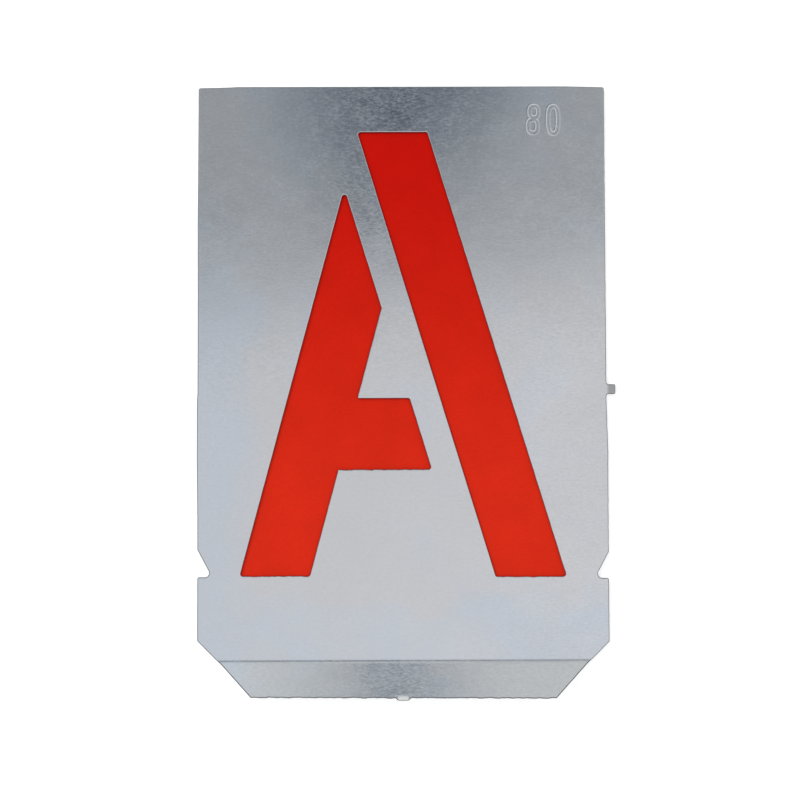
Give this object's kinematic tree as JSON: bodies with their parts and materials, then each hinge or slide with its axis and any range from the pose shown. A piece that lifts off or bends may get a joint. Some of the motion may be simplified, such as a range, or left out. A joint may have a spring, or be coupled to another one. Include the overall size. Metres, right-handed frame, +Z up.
{
  "type": "lettering stencil",
  "caption": "Thin metal stencil plate with a cut-out capital A in two parts, bent-up grip edge, baseline notches and a red backing card.",
  "frame": {"origin": "middle of the backing card's underside, which is also the middle of the flat of the plate in plan", "axes": "+X to the letter's right, +Y towards the letter's top, +Z up out of the sheet"},
  "size_m": [0.0747, 0.1103, 0.0039],
  "materials": {
    "zinc_sheet": "rolled bluish-grey zinc sheet, satin, with fine streaks across its width",
    "red_card": "matt orange-red card"
  },
  "bodies": {
    "card": {"backing_card": "red_card"},
    "plate": {"stencil_plate": "zinc_sheet"}
  },
  "joints": [
    {"name": "plate_lift", "type": "slide", "parent": "card", "child": "plate", "axis": [0, 0, 1], "range_m": [0, 0.03]}
  ]
}
